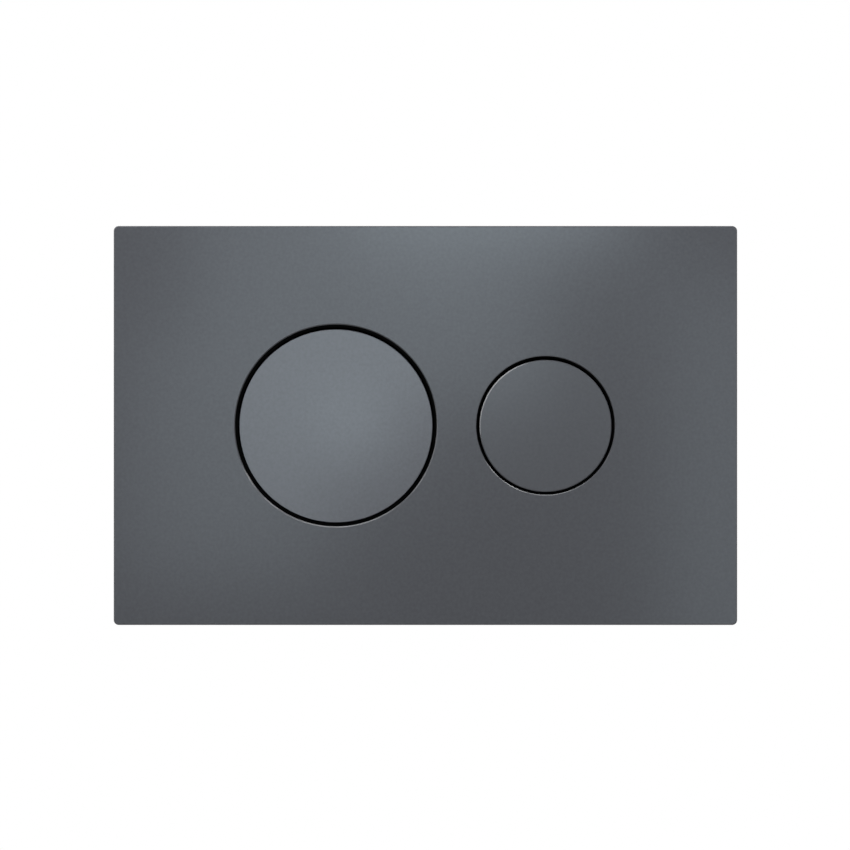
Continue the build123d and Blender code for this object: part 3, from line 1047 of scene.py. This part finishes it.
# %% One folded strip
clip_low, clip_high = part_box("top_left_clip")
clip_x = (clip_low.x + clip_high.x) / 2
clip_leg = clip_high.y - clip_low.y - clip_strip
tongue_outer = tongue_inner + tongue_thickness
bulge_middle = tongue_end - clip_leg / 2
bulge_half = 3.0 * mm
bulge_peak = clip_high.z - clip_strip
fold_round = 0.6 * mm

let_go()
bpy.ops.mesh.primitive_plane_add(size=1, location=(clip_x, bulge_middle, tongue_inner))
strip = bpy.context.object
strip.name = "clip_top_left"
strip.scale = (clip_high.x - clip_low.x, clip_leg, 1)
apply_place()
open_mesh(strip)
pick("edges", lambda edge: at_depth(edge, tongue_end))
fold_points = (
    (tongue_end, tongue_inner),
    (tongue_end, tongue_outer),
    (bulge_middle + bulge_half, tongue_outer),
    (bulge_middle, bulge_peak),
    (bulge_middle - bulge_half, tongue_outer),
)
for (y, z), (next_y, next_z) in zip(fold_points, fold_points[1:]):
    bpy.ops.mesh.extrude_region_move(TRANSFORM_OT_translate={"value": (0, next_y - y, next_z - z)})
fold_count = pick("edges", lambda edge: len(edge.link_faces) == 2)
bpy.ops.mesh.bevel(offset=fold_round, segments=4, affect="EDGES")
close_mesh()
print("Folds:", fold_count)

# %% Thickness, and the other three clips
step = strip.modifiers.new("sheet", "SOLIDIFY")
step.thickness = clip_strip
step.offset = -1
take(strip)
bpy.ops.object.modifier_apply(modifier=step.name)
dress(strip, spring_steel)
smooth(strip)


def half_turn_copy(piece, name):
    copy = copy_to(piece, (0, 0, 0))
    copy.name = name
    bpy.ops.transform.rotate(value=math.pi, orient_axis="Y", center_override=(0, 0, 0))
    apply_place()
    return copy


to_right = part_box("top_right_clip")[0].x - clip_low.x
strip_right = copy_to(strip, (to_right, 0, 0))
strip_right.name = "clip_top_right"
clips = {
    "top_left_clip": strip,
    "top_right_clip": strip_right,
    "bottom_right_clip": half_turn_copy(strip, "clip_bottom_right"),
    "bottom_left_clip": half_turn_copy(strip_right, "clip_bottom_left"),
}
for node, clip in clips.items():
    stand_for(clip, node)

# %% [markdown]
# ## Floor and surroundings
# The plate is shown on plain white. A pale round floor lies well below it, out of the front view, and
# gives the other views a ground. A white ground could come from strong lamps, but they would bleach the
# paint. Instead the world and the floor are bright only for the rays that the eye follows: straight
# from the camera, mirrored, or through glass. The light that they cast stays soft, and the floor keeps
# a share of its own shading, so that a shadow shows on it.

# %% Rays that the eye follows
white = (1, 1, 1, 1)


def eye_ray(tree):
    """A value that is 1 for camera, mirrored and transmitted rays, and 0 for the light that is cast."""
    path = tree.nodes.new("ShaderNodeLightPath")
    seen_by_eye = path.outputs["Is Camera Ray"]
    for other in ("Is Glossy Ray", "Is Transmission Ray"):
        larger = tree.nodes.new("ShaderNodeMath")
        larger.operation = "MAXIMUM"
        tree.links.new(seen_by_eye, larger.inputs[0])
        tree.links.new(path.outputs[other], larger.inputs[1])
        seen_by_eye = larger.outputs["Value"]
    return seen_by_eye


# %% Pale floor
floor_radius = 1.2
floor_drop = 0.45
floor_glow = 0.55
floor_sides = 96
let_go()
bpy.ops.mesh.primitive_circle_add(
    vertices=floor_sides, radius=floor_radius, fill_type="NGON", location=(0, 0, -floor_drop)
)
floor = bpy.context.object
floor.name = "pale_floor"
apply_place()
floor_card = finish(
    "floor_card", tones=((0.78, 0.78, 0.78), (0.80, 0.80, 0.80)),
    roughness=(0.8, 0.9), fine=400, broad=5, relief=0.01 * mm,
)
card = floor_card.node_tree
glow = card.nodes.new("ShaderNodeEmission")
glow.inputs["Color"].default_value = white
share = card.nodes.new("ShaderNodeMath")
share.operation = "MULTIPLY"
share.inputs[1].default_value = floor_glow
paper = card.nodes.new("ShaderNodeMixShader")
card.links.new(eye_ray(card), share.inputs[0])
card.links.new(share.outputs["Value"], paper.inputs["Fac"])
card.links.new(card.nodes["Principled BSDF"].outputs["BSDF"], paper.inputs[1])
card.links.new(glow.outputs["Emission"], paper.inputs[2])
card.links.new(paper.outputs["Shader"], card.nodes["Material Output"].inputs["Surface"])
dress(floor, floor_card)
floor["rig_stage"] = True
print(f"Floor {2 * floor_radius:.1f} m wide, {floor_drop} m below the plate's middle")

# %% White world
soft_light = 0.06
world = bpy.data.worlds.new("white_ground")
world.use_nodes = True
bpy.context.scene.world = world
sky = world.node_tree
sky.nodes.clear()
cast = sky.nodes.new("ShaderNodeBackground")
cast.inputs["Color"].default_value = white
cast.inputs["Strength"].default_value = soft_light
seen = sky.nodes.new("ShaderNodeBackground")
seen.inputs["Color"].default_value = white
seen.inputs["Strength"].default_value = 1.0
choose = sky.nodes.new("ShaderNodeMixShader")
sky_out = sky.nodes.new("ShaderNodeOutputWorld")
sky.links.new(eye_ray(sky), choose.inputs["Fac"])
sky.links.new(cast.outputs["Background"], choose.inputs[1])
sky.links.new(seen.outputs["Background"], choose.inputs[2])
sky.links.new(choose.outputs["Shader"], sky_out.inputs["Surface"])
print("World casts", soft_light, "of white")

# %% [markdown]
# ## Lamps
# Satin paint shows a blurred picture of the room in front of it, so the lamps are soft panels, as in a
# product studio. Five cool panels stand beside the camera. Their mirror image is the pale cloud that
# runs down over the plate from the upper middle to the left: two broad panels give its spread, two
# smaller ones its core, and a narrow one lifts the plate's right side. A sloping edge mirrors light from
# twice its slope. So a wide panel above draws the line along the lower edges of the openings, three small
# ones carry it on to both sides, and a tall one at the upper left lights the edge of the small button.
# The last one stands behind the wall plane and lights the works.

# %% Soft lamps
plain_white = (1, 1, 1)
cool_white = (0.84, 1.0, 1.10)


def soft_panel(name, place, aim, width, height, watts, colour=plain_white):
    let_go()
    bpy.ops.object.light_add(type="AREA", location=place)
    lamp = bpy.context.object
    lamp.name = name
    lamp.data.shape = "RECTANGLE"
    lamp.data.size = width
    lamp.data.size_y = height
    lamp.data.energy = watts
    lamp.data.color = colour
    lamp.rotation_euler = (Vector(aim) - Vector(place)).to_track_quat("-Z", "Y").to_euler()
    lamp.visible_camera = False
    print(f"{name}: {watts} W at {place}")


def front_panel(name, x, z, width, height, watts):
    """A cool panel beside the camera, square to the plate."""
    beside_camera = -0.96
    soft_panel(name, (x, beside_camera, z), (x, 0, z), width, height, watts, cool_white)


front_panel("cloud_upper", x=-0.045, z=0.125, width=0.28, height=0.21, watts=0.32)
front_panel("cloud_lower", x=-0.16, z=-0.025, width=0.16, height=0.20, watts=0.145)
front_panel("core_upper", x=0.05, z=0.20, width=0.22, height=0.10, watts=0.33)
front_panel("core_middle", x=-0.07, z=0.07, width=0.07, height=0.18, watts=0.23)
front_panel("right_side", x=0.245, z=-0.06, width=0.10, height=0.36, watts=0.172)

# %% Panels for the edges, and one for the works
plate_middle = (0, plate_low.y, 0)
button_middle = {size: (x, plate_low.y, 0) for size, x in button_x.items()}
above_place = (0.15, -0.25, 0.55)
above_aim = (above_place[0], plate_low.y, 0)
upper_left_place = (-0.425, -0.145, 0.344)
behind_place = (0.35, 0.9, 0.6)
line_y = -0.284
line_panel = 0.12


def line_lamp(name, x, z, size, watts):
    """A small panel whose light the broken edge of one opening mirrors to the front."""
    soft_panel(name, (x, line_y, z), button_middle[size], line_panel, line_panel, watts)


soft_panel("above", above_place, above_aim, width=1.20, height=0.13, watts=3.05)
line_lamp("line_right", x=0.335, z=0.476, size="full", watts=0.34)
line_lamp("line_far_right", x=0.47, z=0.33, size="full", watts=0.38)
line_lamp("line_left", x=-0.486, z=0.308, size="half", watts=0.12)
soft_panel("upper_left", upper_left_place, button_middle["half"], width=0.11, height=1.12, watts=2.5)
soft_panel("behind", behind_place, plate_middle, width=0.8, height=0.5, watts=9.0)

# %% [markdown]
# ## Camera
# The photograph looks square at the plate from far enough that its sides do not show. A long lens keeps
# it so. The distance follows from the width of the picture at the plate's face.

# %% The camera square in front
lens = 100.0
sensor = 36.0
picture_width = 340.7 * mm
aim_x = -0.18 * mm
aim_z = 0.2 * mm
distance = picture_width * lens / sensor
let_go()
bpy.ops.object.camera_add(
    location=(aim_x, plate_low.y - distance, aim_z), rotation=(math.pi / 2, 0, 0)
)
camera = bpy.context.object
camera.data.lens = lens
camera.data.sensor_width = sensor
bpy.context.scene.camera = camera
bpy.context.scene.view_settings.view_transform = "Standard"
print(f"Camera {distance:.3f} m in front of the plate")

# %% [markdown]
# ## Size
# The dressed part has to fill the same box as the solids. Both boxes are printed side by side.

# %% Print the sizes and finish
let_go()
visual_box = [list(corner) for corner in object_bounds()]
for axis, cad_low, cad_high, low, high in zip("XYZ", *cad_box, *visual_box):
    solid_span = f"{cad_low / mm:.2f} to {cad_high / mm:.2f}"
    print(f"{axis}: solids {solid_span}, dressed {low / mm:.2f} to {high / mm:.2f}")
